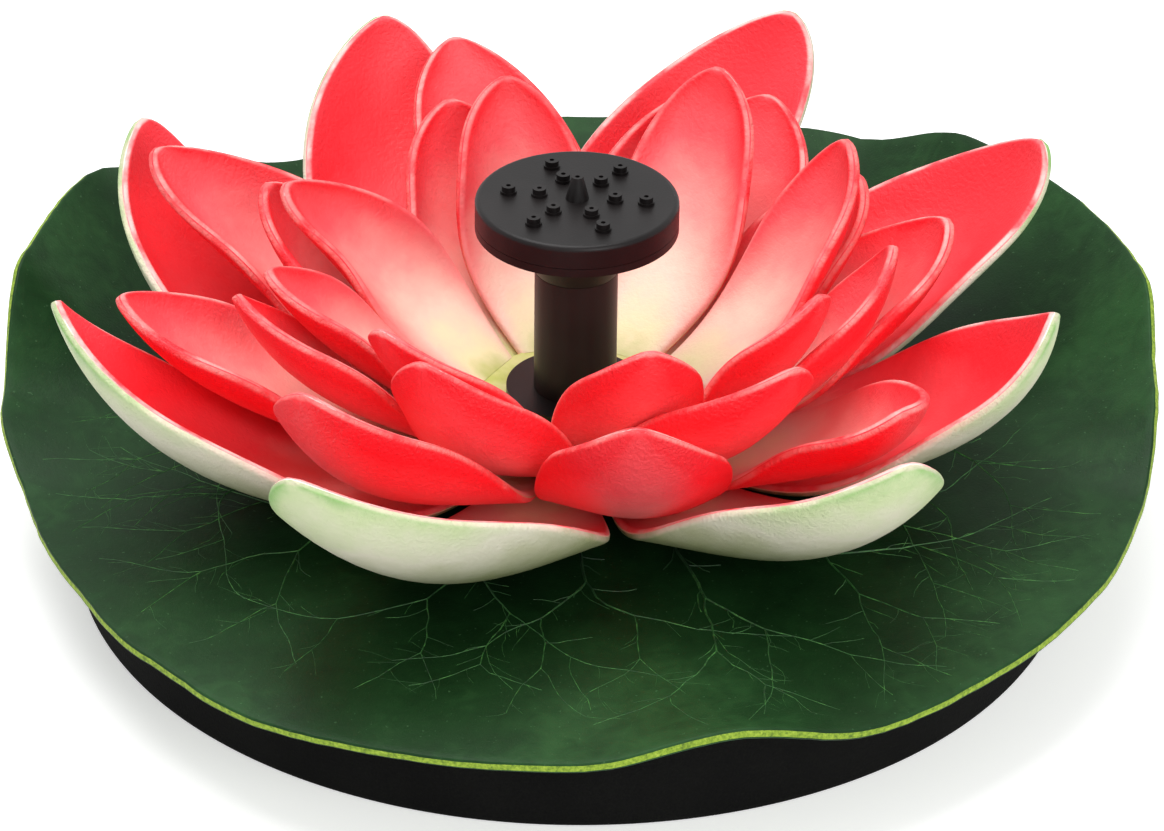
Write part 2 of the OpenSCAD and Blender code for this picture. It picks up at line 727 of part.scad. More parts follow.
module driver_board() {
  board_r = pod_bore_r - inside_gap;
  color(board_green) difference() {
    union() {
      translate([0, 0, board_z]) cylinder(h = board_t, r = board_r);
      around(spoke_count) translate([board_r / 2 + can_r / 2, 0, board_z + board_t / 2])
        translate([-chip_w / 2, -chip_l / 2, 0]) cube([chip_w, chip_l, board_t / 2 + chip_t]);
    }
    translate([0, 0, board_z - cut]) cylinder(h = board_t + 2 * cut, r = can_r + inside_gap);
  }
}

module rotor_magnet() {
  color(steel) tube(magnet_z, magnet_z + magnet_h, magnet_r, sleeve_r + push_fit);
}

// A curved vane: a slice of a ring whose centre is off the axis
module vane() {
  intersection() {
    translate([0, vane_bend_r, vane_z]) difference() {
      cylinder(h = vane_h + shroud_t / 2, r = vane_bend_r + vane_t / 2);
      translate([0, 0, -cut])
        cylinder(h = vane_h + shroud_t / 2 + 2 * cut, r = vane_bend_r - vane_t / 2);
    }
    translate([0, 0, vane_z - cut]) difference() {
      cylinder(h = vane_h + shroud_t + cut, r = impeller_r - vane_inset);
      translate([0, 0, -cut]) cylinder(h = vane_h + shroud_t + 3 * cut, r = vane_inner_r);
    }
    translate([0, -vane_bend_r, vane_z - cut])
      cube([impeller_r, 2 * vane_bend_r, vane_h + shroud_t + cut]);
  }
}

module impeller() {
  color(plastic_grey) difference() {
    union() {
      translate([0, 0, vane_z]) cylinder(h = sleeve_top_z - vane_z, r = sleeve_r);
      translate([0, 0, shroud_z]) cylinder(h = shroud_t, r = impeller_r);
      around(vane_count) vane();
    }
    translate([0, 0, vane_z - cut]) cylinder(h = sleeve_top_z - vane_z + 2 * cut, r = rotor_bore_r);
  }
}

module rotor_shaft() {
  color(steel) translate([0, 0, inlet_z]) cylinder(h = shaft_top_z - inlet_z, r = shaft_r);
}

module upper_bush() {
  color(rubber_black) tube(upper_bush_z, upper_bush_top_z, bush_r, shaft_r + push_fit);
}

module lower_bush() {
  color(rubber_black) tube(inlet_z, inlet_z + inlet_t + bush_flange_t, bush_r, shaft_r + push_fit);
}

module inlet_plate() {
  color(plastic_black) translate([0, 0, inlet_z]) difference() {
    union() {
      difference() {
        cylinder(h = inlet_t, r = housing_bore_r - seat_gap);
        translate([0, 0, -cut]) cylinder(h = inlet_t + 2 * cut, r = inlet_eye_r);
      }
      cylinder(h = inlet_t, r = inlet_hub_r);
      around(spoke_count) translate([0, -spoke_w / 2, 0]) cube([inlet_eye_r + spoke_w, spoke_w, inlet_t]);
    }
    translate([0, 0, -cut]) cylinder(h = inlet_t + 2 * cut, r = bush_r + push_fit);
    around(screw_count, pillar_turn) translate([screw_ring_r, 0, -cut])
      cylinder(h = inlet_t + 2 * cut, r = screw_r + push_fit, $fn = small_sides);
  }
}

module cover_screws() {
  color(steel) around(screw_count, pillar_turn) translate([screw_ring_r, 0, inlet_z]) difference() {
    union() {
      translate([0, 0, -screw_head_t - seat_gap])
        cylinder(h = screw_head_t, r = screw_head_r, $fn = small_sides);
      translate([0, 0, -seat_gap - screw_head_t / 2])
        cylinder(h = screw_l - seat_gap, r = screw_r - push_fit, $fn = small_sides);
    }
    translate([-screw_head_r - cut, -screw_slot_w / 2, -screw_head_t - seat_gap - cut])
      cube([2 * screw_head_r + 2 * cut, screw_slot_w, screw_head_t / 2 + cut]);
  }
}

module sponge_filter() {
  color(sponge_blue) translate([0, 0, filter_z]) cylinder(h = filter_t, r = filter_r);
}

module intake_screen() {
  screen_r = housing_bore_r - seat_gap;
  slots = floor((filter_r - slot_w) / slot_pitch);
  color(plastic_black) difference() {
    union() {
      translate([0, 0, screen_z]) cylinder(h = screen_t, r = screen_r);
      tube(screen_z, inlet_z - seat_gap, screen_r, screen_r - screen_rim_w);
    }
    for (k = [-slots:slots]) let (
      x = k * slot_pitch,
      reach = sqrt(pow(filter_r, 2) - pow(x, 2)) - slot_w
    ) for (side = [-1, 1]) translate([x - slot_w / 2, side > 0 ? screen_rib_w / 2 : -reach,
        screen_z - cut])
      cube([slot_w, reach - screen_rib_w / 2, screen_t + 2 * cut]);
  }
}

module cable_gland() {
  color(rubber_black) translate([0, gland_y, pump_foot_z]) difference() {
    union() {
      cylinder(h = gland_l - seat_gap, r = gland_r);
      translate([0, 0, -gland_rib_r]) cylinder(h = gland_rib_r, r1 = gland_r - gland_rib_depth,
        r2 = gland_r + gland_boss_wall / 2);
    }
    translate([0, 0, -gland_rib_r - cut]) cylinder(h = gland_l + gland_rib_r + 2 * cut, r = lead_hole_r);
  }
}

float_base();
leaf_pad();
outer_petals();
second_petals();
third_petals();
inner_petals();
stem_collar();
riser_tube();
spray_cup();
spray_plate();
pump_housing();
motor_pod();
pod_lid();
pod_seal();
stator_core();
stator_coils();
driver_board();
rotor_magnet();
impeller();
rotor_shaft();
upper_bush();
lower_bush();
inlet_plate();
cover_screws();
sponge_filter();
intake_screen();
cable_gland();
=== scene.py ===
# %% [markdown]
# # A floating lotus fountain
# The object is a toy-like garden fountain: a black foam float, a printed foam lily-pad leaf,
# four die-cut foam flower sheets with eight cupped petals each, and a black plastic stem with
# a round spray head. The CAD model gives the places of all parts. This lesson dresses them:
# soft foam pieces are remodelled, and each plastic or metal part gets its own finish.
# Lengths are written in millimetres and turned into metres where a mesh is made.

# %% Load the CAD frame
import math
import random

import bpy
from mathutils import Matrix, Vector


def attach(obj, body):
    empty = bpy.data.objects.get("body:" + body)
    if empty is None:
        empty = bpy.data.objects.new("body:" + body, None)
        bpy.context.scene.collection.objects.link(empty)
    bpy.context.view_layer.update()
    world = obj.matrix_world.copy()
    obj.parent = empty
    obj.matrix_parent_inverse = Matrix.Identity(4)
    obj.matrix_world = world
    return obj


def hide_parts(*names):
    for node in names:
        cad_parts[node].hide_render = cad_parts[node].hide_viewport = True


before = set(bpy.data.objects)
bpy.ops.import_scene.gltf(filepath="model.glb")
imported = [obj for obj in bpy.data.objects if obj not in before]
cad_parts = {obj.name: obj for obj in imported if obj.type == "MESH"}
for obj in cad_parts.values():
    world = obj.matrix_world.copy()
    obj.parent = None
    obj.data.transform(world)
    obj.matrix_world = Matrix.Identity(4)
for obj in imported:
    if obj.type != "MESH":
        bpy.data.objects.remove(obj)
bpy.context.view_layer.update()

MM = 0.001
print("CAD nodes:", len(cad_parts))

# %% [markdown]
# ## The camera
# The photograph was taken from the front and from about 31 degrees above the horizon with a
# long lens, so the rims of the float and of the spray head look like flat ellipses with little
# perspective. The camera is placed by a distance and an elevation about a point on the stem.

# %% Camera
IMAGE_WIDTH = 1164
CAMERA_DISTANCE = 1000
CAMERA_ELEVATION = math.radians(31.045)
CAMERA_ROLL = math.radians(0.748)
LOOK_AT = Vector((1.41, 0, 28.066))
FOCAL_PIXELS = 5267.95
SENSOR_WIDTH = 36

backwards = Vector((0, -math.cos(CAMERA_ELEVATION), math.sin(CAMERA_ELEVATION)))
rightwards = Vector((1, 0, 0))
upwards = backwards.cross(rightwards)
turned_right = math.cos(CAMERA_ROLL) * rightwards + math.sin(CAMERA_ROLL) * upwards
turned_up = math.cos(CAMERA_ROLL) * upwards - math.sin(CAMERA_ROLL) * rightwards
camera_data = bpy.data.cameras.new("camera")
camera_data.sensor_width = SENSOR_WIDTH
camera_data.lens = SENSOR_WIDTH * FOCAL_PIXELS / IMAGE_WIDTH
camera_data.clip_start = 0.01
camera = bpy.data.objects.new("camera", camera_data)
bpy.context.scene.collection.objects.link(camera)
camera.matrix_world = Matrix.Translation((LOOK_AT + CAMERA_DISTANCE * backwards) * MM) @ Matrix(
    (turned_right, turned_up, backwards)).transposed().to_4x4()
bpy.context.scene.camera = camera
print("lens", round(camera_data.lens, 1), "mm")

# %% [markdown]
# ## Shader maths in Python
# A finish is easier to read as a formula than as a net of nodes. `Reading` wraps one socket and
# overloads the operators, so that `1 - mask` adds a Math node. `Finish` holds one material and
# adds every other node by one method, which sets the node's settings first and then its sockets.

# %% The shader helpers
class Reading:
    """A number that changes over a surface."""

    def __init__(self, finish, socket):
        self.finish = finish
        self.socket = socket

    def maths(self, operation, first, second):
        made = self.finish.node("ShaderNodeMath", {"operation": operation}, {0: first, 1: second})
        return Reading(self.finish, made.outputs[0])

    def __add__(self, other):
        return self.maths("ADD", self, other)

    def __radd__(self, other):
        return self.maths("ADD", other, self)

    def __sub__(self, other):
        return self.maths("SUBTRACT", self, other)

    def __rsub__(self, other):
        return self.maths("SUBTRACT", other, self)

    def __mul__(self, other):
        return self.maths("MULTIPLY", self, other)

    def __rmul__(self, other):
        return self.maths("MULTIPLY", other, self)

    def __pow__(self, other):
        return self.maths("POWER", self, other)

    def __abs__(self):
        return self.maths("ABSOLUTE", self, 0)

    def at_most(self, other):
        return self.maths("MINIMUM", self, other)

    def step(self, low, high):
        """0 below low, 1 above high, and a smooth change between them."""
        made = self.finish.node("ShaderNodeMapRange", {"interpolation_type": "SMOOTHSTEP"},
                                {0: self, 1: low, 2: high, 3: 0, 4: 1})
        return Reading(self.finish, made.outputs[0])


def linear(red, green, blue):
    """A colour picked on a screen, 0 to 255, as the shader's linear colour."""
    parts = []
    for part in (red, green, blue):
        part /= 255
        parts.append(part / 12.92 if part <= 0.04045 else ((part + 0.055) / 1.055) ** 2.4)
    return (*parts, 1)


class Finish:
    """One material and the nodes that make it."""

    def __init__(self, name, colour, roughness, metallic=0, specular=0.5):
        self.material = bpy.data.materials.new(name)
        self.material.use_nodes = True
        self.tree = self.material.node_tree
        self.shader = self.tree.nodes["Principled BSDF"]
        self.set("Base Color", linear(*colour))
        self.set("Roughness", roughness)
        self.set("Metallic", metallic)
        self.set("Specular IOR Level", specular)
        self.place = self.node("ShaderNodeTexCoord").outputs["Object"]

    def node(self, kind, settings=None, values=None):
        made = self.tree.nodes.new(kind)
        for name, value in (settings or {}).items():
            if name == "stops":
                self.stops(made.color_ramp, value)
            else:
                setattr(made, name, value)
        for name, value in (values or {}).items():
            self.feed(made.inputs[name], value)
        return made

    def stops(self, ramp, stops):
        while len(ramp.elements) < len(stops):
            ramp.elements.new(1)
        for element, (place, colour) in zip(ramp.elements, stops):
            element.position = place
            element.color = linear(*colour)

    def feed(self, socket, value):
        if isinstance(value, Reading):
            value = value.socket
        if isinstance(value, bpy.types.NodeSocket):
            self.tree.links.new(value, socket)
        else:
            socket.default_value = value

    def set(self, socket, value):
        self.feed(self.shader.inputs[socket], value)

    def noise(self, size, detail=2, roughness=0.5, distortion=0, stretch=(1, 1, 1)):
        """A cloudy pattern from 0 to 1 whose lumps are about size millimetres."""
        scaled = self.node("ShaderNodeMapping", {}, {
            "Vector": self.place, "Scale": [s / (size * MM) for s in stretch]})
        made = self.node("ShaderNodeTexNoise", {}, {
            "Vector": scaled.outputs[0], "Scale": 1.0, "Detail": detail, "Roughness": roughness,
            "Distortion": distortion})
        return Reading(self, made.outputs[0])

    def ramp(self, reading, stops):
        made = self.node("ShaderNodeValToRGB", {"stops": stops}, {0: reading})
        return made.outputs[0]

    def mix(self, share, first, second):
        made = self.node("ShaderNodeMix", {"data_type": "RGBA"}, {0: share, 6: first, 7: second})
        return made.outputs[2]

    def attribute(self, name):
        made = self.node("ShaderNodeAttribute", {"attribute_name": name})
        return Reading(self, made.outputs["Fac"])

    def bump(self, height, depth, strength=1.0):
        """Small relief: height runs from 0 to 1 and stands for depth millimetres."""
        made = self.node("ShaderNodeBump", {}, {"Height": height, "Distance": depth * MM,
                                                "Strength": strength})
        self.set("Normal", made.outputs[0])


print("shader helpers ready")

# %% [markdown]
# ## Modelling helpers
# Blender's operators act on whatever is selected. These helpers deselect everything first, add
# one primitive, and give back its object. A soft piece starts as a flat grid whose points are
# then moved by a formula, as a sheet of foam is pressed into its shape.

# %% The modelling helpers
def deselect():
    if bpy.context.object and bpy.context.object.mode != "OBJECT":
        bpy.ops.object.mode_set(mode="OBJECT")
    bpy.ops.object.select_all(action="DESELECT")


def only(piece):
    deselect()
    bpy.context.view_layer.objects.active = piece
    piece.select_set(True)


def edit_all(piece):
    only(piece)
    bpy.ops.object.mode_set(mode="EDIT")
    bpy.ops.mesh.select_all(action="SELECT")


def done():
    bpy.ops.object.mode_set(mode="OBJECT")


def bent_grid(name, columns, rows, place):
    """A flat grid of columns by rows whose points go to place(across, along), both 0 to 1."""
    deselect()
    bpy.ops.mesh.primitive_grid_add(x_subdivisions=columns, y_subdivisions=rows, size=1,
                                    calc_uvs=True)
    piece = bpy.context.object
    piece.name = piece.data.name = name
    for vertex in piece.data.vertices:
        vertex.co = place(vertex.co.x + 0.5, vertex.co.y + 0.5) * MM
    return piece


def apply_modifier(piece, name, kind, **settings):
    only(piece)
    modifier = piece.modifiers.new(name, kind)
    for setting, value in settings.items():
        setattr(modifier, setting, value)
    bpy.ops.object.modifier_apply(modifier=modifier.name)


def join(name, pieces):
    only(pieces[0])
    for piece in pieces:
        piece.select_set(True)
    bpy.ops.object.join()
    joined = bpy.context.object
    joined.name = joined.data.name = name
    return joined


def merge(piece, distance=0.01):
    edit_all(piece)
    bpy.ops.mesh.remove_doubles(threshold=distance * MM)
    done()


def outwards(piece):
    edit_all(piece)
    bpy.ops.mesh.normals_make_consistent(inside=False)
    done()


def smooth(piece, angle):
    only(piece)
    bpy.ops.object.shade_smooth_by_angle(angle=math.radians(angle))


def turned(name, profile, segments):
    """A ring turned about the stem's axis: its closed profile is a list of radius and height."""
    deselect()
    radius, height = profile[0]
    bpy.ops.mesh.primitive_circle_add(vertices=segments, radius=radius * MM,
                                      location=(0, 0, height * MM))
    piece = bpy.context.object
    piece.name = piece.data.name = name
    edit_all(piece)
    for next_radius, next_height in profile[1:] + profile[:1]:
        bpy.ops.mesh.extrude_edges_move(
            TRANSFORM_OT_translate={"value": (0, 0, (next_height - height) * MM)})
        bpy.ops.transform.resize(value=(next_radius / radius, next_radius / radius, 1))
        radius, height = next_radius, next_height
    done()
    bpy.ops.object.transform_apply(location=True, rotation=True, scale=True)
    merge(piece)
    outwards(piece)
    return piece


def rounded(profile, corner_sizes, steps=4):
    """The profile with its corners rounded: a size in millimetres for each corner, 0 for none."""
    points = []
    count = len(profile)
    for index, (corner, size) in enumerate(zip(profile, corner_sizes)):
        here = Vector(corner)
        if size == 0:
            points.append(tuple(here))
            continue
        before = (Vector(profile[index - 1]) - here).normalized() * size
        after = (Vector(profile[(index + 1) % count]) - here).normalized() * size
        for step in range(steps + 1):
            share = step / steps
            # A quadratic curve from one side of the corner to the other
            point = here + before * (1 - share) ** 2 + after * share ** 2
            points.append(tuple(point))
    return points


def finish_with(piece, *finishes):
    piece.data.materials.clear()
    for one in finishes:
        piece.data.materials.append(one.material)


print("modelling helpers ready")

# %% [markdown]
# ## The foam float
# The float is a thick disc cut from black closed-cell foam. Up close it shows fine cells and
# faint lines from the hot wire that cut its side. Its edges are barely rounded. A profile turned
# about the axis gives the disc with its stepped well, and a Boolean cuts the lead's pocket.

# %% The float's finish
def foam_finish(name, colour, lighter):
    foam = Finish(name, colour, 0.9, specular=0.08)
    cells = foam.noise(0.5, detail=3, roughness=0.7)
    drift = foam.noise(22, detail=2)
    wire_lines = foam.noise(1.6, detail=1, stretch=(0.04, 0.04, 1))
    foam.set("Base Color", foam.mix((cells * 0.6 + drift * 0.4).step(0.35, 0.75),
                                    linear(*colour), linear(*lighter)))
    foam.set("Roughness", 0.8 + cells * 0.15)
    foam.bump(cells * 0.6 + wire_lines * 0.4, 0.22, 0.8)
    return foam


float_foam = foam_finish("black_float_foam", (10, 10, 10), (24, 24, 23))
print("finish", float_foam.material.name)

# %% The float's shape
FLOAT_R = 95
FLOAT_H = 21.6
WELL_R = 25.5
WELL_TOP = 17.2
WELL_NECK_R = 20.9
POCKET_W = 14
POCKET_END = 33.4

float_profile = [(WELL_R, 0), (FLOAT_R, 0), (FLOAT_R, FLOAT_H), (WELL_NECK_R, FLOAT_H),
                 (WELL_NECK_R, WELL_TOP), (WELL_R, WELL_TOP)]
foam_float = turned("foam_float", rounded(float_profile, (0.4, 1.3, 1.3, 0.4, 0.3, 0)), 256)
deselect()
bpy.ops.mesh.primitive_cube_add(size=1, location=(0, POCKET_END / 2 * MM, WELL_TOP / 2 * MM - MM))
pocket = bpy.context.object
pocket.scale = (POCKET_W * MM, POCKET_END * MM, (WELL_TOP + 2) * MM)
apply_modifier(foam_float, "pocket", "BOOLEAN", operation="DIFFERENCE", object=pocket)
bpy.data.objects.remove(pocket)
finish_with(foam_float, float_foam)
smooth(foam_float, 30)
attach(foam_float, "base")
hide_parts("float_base")
print("float faces", len(foam_float.data.polygons))

# %% [markdown]
# ## The lily-pad leaf
# The leaf is a 2 mm sheet of foam, printed dark green, with a cut edge that shows the lime foam
# inside. It lies flat under the flower and waves towards its rim: one ripple in front and a
# raised lobe on either side behind. The rim's rise and radius come from two short tables that go
# round the leaf every 15 degrees, from the back over the left to the front and on.

# %% The leaf's surface as a formula
LEAF_R = 112
LEAF_Z = 21.9
LEAF_T = 2
LEAF_TOP = LEAF_Z + LEAF_T
LEAF_HOLE_R = 8.6
LEAF_FLAT_R = 72
LEAF_RISE = 25
LEAF_DROOP_R = 96
RIM_RISES = [0.40, 0.32, 0.28, 0.56, 1.00, 0.92, 0.24, 0, 0, 0, -0.04, -0.04, 0, 0.18,
             -0.02, 0.02, 0.06, 0.12, 0.56, 0.92, 0.92, 0.92, 0.56, 0.44]
RIM_RADII = [0.995, 1, 1, 1.005, 1, 0.985, 0.97, 0.935, 0.94, 0.965, 0.985, 0.975, 0.98,
             0.975, 0.985, 0.98, 0.98, 0.975, 0.98, 1.005, 1.01, 1.01, 1, 1]


def round_value(table, turn):
    """The table's value at a share of a full turn, with a smooth change between its entries."""
    place = turn * len(table)
    low = math.floor(place)
    mix = (1 - math.cos(math.pi * (place - low))) / 2
    return table[low % len(table)] * (1 - mix) + table[(low + 1) % len(table)] * mix


def leaf_height(turn, radius):
    edge = LEAF_R * round_value(RIM_RADII, turn)
    rise = LEAF_RISE * round_value(RIM_RISES, turn)
    # Where the rim droops it may only start to bend outside the float
    bend_r = LEAF_DROOP_R if rise < 0 else LEAF_FLAT_R
    out = max(radius - bend_r, 0) / (edge - bend_r)
    return rise * out ** 2


def leaf_point(turn, radius, height):
    """turn is 0 at the back, 0.25 at the left, 0.5 at the front and 0.75 at the right."""
    angle = (turn - 0.5) * 2 * math.pi
    return Vector((radius * math.sin(angle), -radius * math.cos(angle),
                   height + leaf_height(turn, radius)))


print("leaf rim in front at", round(leaf_point(0.5, LEAF_R, LEAF_TOP).z, 1), "mm")

# %% [markdown]
# ## The leaf's veins
# The printed veins stand out a little from the leaf. They start under the flower, run outwards
# and fork again and again until they fade before the rim. A small branching routine with a fixed
# seed draws them, and each becomes a thin tapered cord, more than half sunk in the sheet.

# %% Draw the veins
MAIN_VEINS = 14
MAIN_VEIN_HALF_W = 0.95
VEIN_SINK = 0.6
VEIN_SHADE_R = 48
VEIN_FULL_R = 78
RIM_MARGIN = 4
TWIG_CHANCE = 0.45
TWIG_LEVEL = 4


def grow_vein(rng, turn, radius, heading, half_w, level, veins):
    """Adds one vein as a list of (turn, radius, half width), and then its twigs and its forks."""
    is_twig = level == TWIG_LEVEL
    steps = rng.randint(2, 4) if is_twig else rng.randint(5, 7)
    path = [(turn, radius, half_w)]
    start_half_w = half_w
    for step in range(steps):
        stride = rng.uniform(1.5, 2.5) if is_twig else rng.uniform(2.4, 3.4)
        heading += rng.gauss(0, 0.24 if is_twig else 0.13)
        radius += stride * math.cos(heading)
        turn += stride * math.sin(heading) / radius / (2 * math.pi)
        edge = LEAF_R * round_value(RIM_RADII, turn)
        if radius > edge - RIM_MARGIN:
            break
        half_w = start_half_w * (1 - 0.25 * (step + 1) / steps)
        path.append((turn, radius, half_w))
        if not is_twig and rng.random() < TWIG_CHANCE:
            side = rng.choice((-1, 1))
            grow_vein(rng, turn, radius, heading + side * rng.uniform(0.6, 0.95),
                      half_w * 0.45, TWIG_LEVEL, veins)
    if len(path) > 2:
        veins.append(path)
    if level < TWIG_LEVEL - 1 and radius < LEAF_R * 0.92:
        spread = rng.uniform(0.4, 0.62)
        for side in (-1, 1):
            grow_vein(rng, turn, radius, heading * 0.5 + side * spread, half_w * 0.78,
                      level + 1, veins)


veins = []
vein_rng = random.Random(7)
for number in range(MAIN_VEINS):
    start_turn = (number + vein_rng.uniform(-0.2, 0.2)) / MAIN_VEINS
    grow_vein(vein_rng, start_turn, vein_rng.uniform(34, 44), vein_rng.uniform(-0.12, 0.12),
              MAIN_VEIN_HALF_W, 0, veins)
print("veins", len(veins))

# %% The veins' shape
def vein_cords(name, paths):
    curve = bpy.data.curves.new(name, "CURVE")
    curve.dimensions = "3D"
    curve.bevel_depth = MM
    curve.bevel_resolution = 0
    curve.use_fill_caps = True
    for path in paths:
        spline = curve.splines.new("POLY")
        spline.points.add(len(path) - 1)
        for point, (turn, radius, half_w) in zip(spline.points, path):
            place = leaf_point(turn, radius, LEAF_TOP - half_w * VEIN_SINK) * MM
            point.co = (*place, 1)
            point.radius = half_w
    cords = bpy.data.objects.new(name, curve)
    bpy.context.scene.collection.objects.link(cords)
    only(cords)
    bpy.ops.object.convert(target="MESH")
    return bpy.context.object


leaf_veins = vein_cords("leaf_veins", veins)
vein_print = Finish("vein_print", (58, 104, 60), 0.5)
fleck = vein_print.noise(2.4, detail=3, roughness=0.7)
# Under the flower the veins take the leaf's dark green, the same painted shade that darkens the
# leaf there, and they show fully from VEIN_FULL_R out.
from_stem = vein_print.node("ShaderNodeVectorMath", {"operation": "LENGTH"},
                            {0: vein_print.place})
beyond_flower_shade = Reading(vein_print, from_stem.outputs["Value"]).step(VEIN_SHADE_R * MM, VEIN_FULL_R * MM)
vein_green = vein_print.ramp(fleck, [
    (0.36, (18, 52, 22)), (0.52, (42, 96, 40)), (0.7, (84, 148, 68))])
vein_print.set("Base Color", vein_print.mix(beyond_flower_shade, linear(14, 40, 18), vein_green))
vein_print.set("Roughness", 0.45 + fleck * 0.2)
vein_print.bump(vein_print.noise(0.4, detail=2), 0.06)
finish_with(leaf_veins, vein_print)
smooth(leaf_veins, 60)
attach(leaf_veins, "base")
print("vein faces", len(leaf_veins.data.polygons))

# %% [markdown]
# ## The leaf's sheet
# A grid is wrapped round the stem, its seam is merged, and Solidify gives it the foam's
# thickness with separate finishes for the top, the underside and the cut edge. The top is a deep
# green with a fine pebbled skin. It is darker under the flower, which is painted shade, and
# lighter towards the rim, which is a painted sheen; its pale specks are painted glints.

# %% The leaf's finishes
leaf_top = Finish("leaf_top", (16, 44, 22), 0.5, specular=0.13)
leaf_shade_to_sheen = leaf_top.attribute("reach")
leaf_cloud = leaf_top.noise(30, detail=3, roughness=0.6)
leaf_grain = leaf_top.noise(0.55, detail=3, roughness=0.65)
# Pale specks mixed into the colour are painted glints; they also add to the bump.
leaf_glint_specks = leaf_top.noise(0.7, detail=1, roughness=0.4).step(0.72, 0.80)
leaf_streaks = leaf_top.noise(5, detail=2, distortion=1.2)
# Painted shade and sheen: the tone is darker near the stem, under the flower, and lighter towards
# the rim; cloud and streaks are the print's random tone.
leaf_tone_shade_and_sheen = leaf_shade_to_sheen * 0.6 + leaf_cloud * 0.8 - 0.2 + (leaf_streaks - 0.5) * 0.3
leaf_green = leaf_top.ramp(leaf_tone_shade_and_sheen, [
    (0.15, (8, 19, 8)), (0.45, (13, 37, 15)), (0.72, (22, 54, 24)), (0.95, (38, 76, 38))])
leaf_top.set("Base Color", leaf_top.mix(leaf_glint_specks * 0.35, leaf_green, linear(84, 126, 84)))
leaf_top.set("Roughness", 0.28 + leaf_cloud * 0.24 + leaf_grain * 0.12)
leaf_top.bump(leaf_grain * 0.8 + leaf_glint_specks * 0.4, 0.12, 0.7)

leaf_edge = Finish("leaf_cut_edge", (158, 184, 44), 0.75)
edge_grain = leaf_edge.noise(0.8, detail=3, roughness=0.7)
leaf_edge.set("Base Color", leaf_edge.ramp(edge_grain, [
    (0.3, (84, 112, 22)), (0.5, (134, 164, 38)), (0.75, (176, 200, 70))]))
leaf_edge.bump(edge_grain, 0.25)

leaf_under = Finish("leaf_underside", (92, 122, 52), 0.7)
under_grain = leaf_under.noise(0.6, detail=3, roughness=0.7)
leaf_under.set("Base Color", leaf_under.ramp(under_grain * 0.5 + leaf_under.noise(25) * 0.5, [
    (0.3, (74, 104, 40)), (0.7, (116, 148, 62))]))
leaf_under.bump(under_grain, 0.12)
print("finishes", [one.material.name for one in (leaf_top, leaf_edge, leaf_under)])

# %% The leaf's shape
leaf_rng = random.Random(11)
LEAF_SPOKES = 288
LEAF_RINGS = 56
rim_cut = [leaf_rng.gauss(0, 0.05) for _ in range(LEAF_SPOKES)]


def leaf_place(across, along):
    turn = across
    edge = LEAF_R * round_value(RIM_RADII, turn)
    if along > 0.999:
        edge += rim_cut[round(turn * LEAF_SPOKES) % LEAF_SPOKES]
    radius = LEAF_HOLE_R + (edge - LEAF_HOLE_R) * along
    return leaf_point(turn, radius, LEAF_Z + LEAF_T / 2)


leaf = bent_grid("leaf", LEAF_SPOKES, LEAF_RINGS, leaf_place)
merge(leaf)
if leaf.data.polygons[len(leaf.data.polygons) // 2].normal.z < 0:
    edit_all(leaf)
    bpy.ops.mesh.flip_normals()
    done()
reach = leaf.data.attributes.new("reach", "FLOAT", "POINT")
for vertex, value in zip(leaf.data.vertices, reach.data):
    value.value = math.hypot(vertex.co.x, vertex.co.y) / (LEAF_R * MM)
finish_with(leaf, leaf_top, leaf_under, leaf_edge)
apply_modifier(leaf, "sheet", "SOLIDIFY", thickness=LEAF_T * MM, offset=0, use_even_offset=True,
               material_offset=1, material_offset_rim=2)
apply_modifier(leaf, "soft_edge", "BEVEL", width=0.42 * MM, segments=3, limit_method="ANGLE",
               angle_limit=math.radians(60), material=0)
smooth(leaf, 50)
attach(leaf, "base")
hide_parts("leaf_pad")
print("leaf faces", len(leaf.data.polygons))

# %% [markdown]
# ## The petals as a formula
# Each flower sheet is die-cut flat with eight petals and then pressed warm over a mould, so that
# each petal turns up along its length and cups across its width. The same formula as in the
# part's source gives a point of a petal, with many more points here. Azimuths are in degrees from
# the front towards the right.

# %% A point of a petal
PETALS = 8
HUB_R = 18.5
HUB_T = 1.9
HUB_OVERLAP = 0.7
HUB_HOLE_R = 8.9
HUB_INSET = 0.05
PETAL_T = 2.2
ROOT_HALF_W = 6.3
WIDEST_SHARE = 0.56
ROOT_POWER = 1.1
TIP_POWER = 0.66
CUP_FULL_SHARE = 0.8
ROLL_FULL_SHARE = 0.55
SWEEP_POWER = 2.2
SHEET_PITCH = 2.2
OUTER_HUB_Z = 24.2
LINE_STEPS = 120


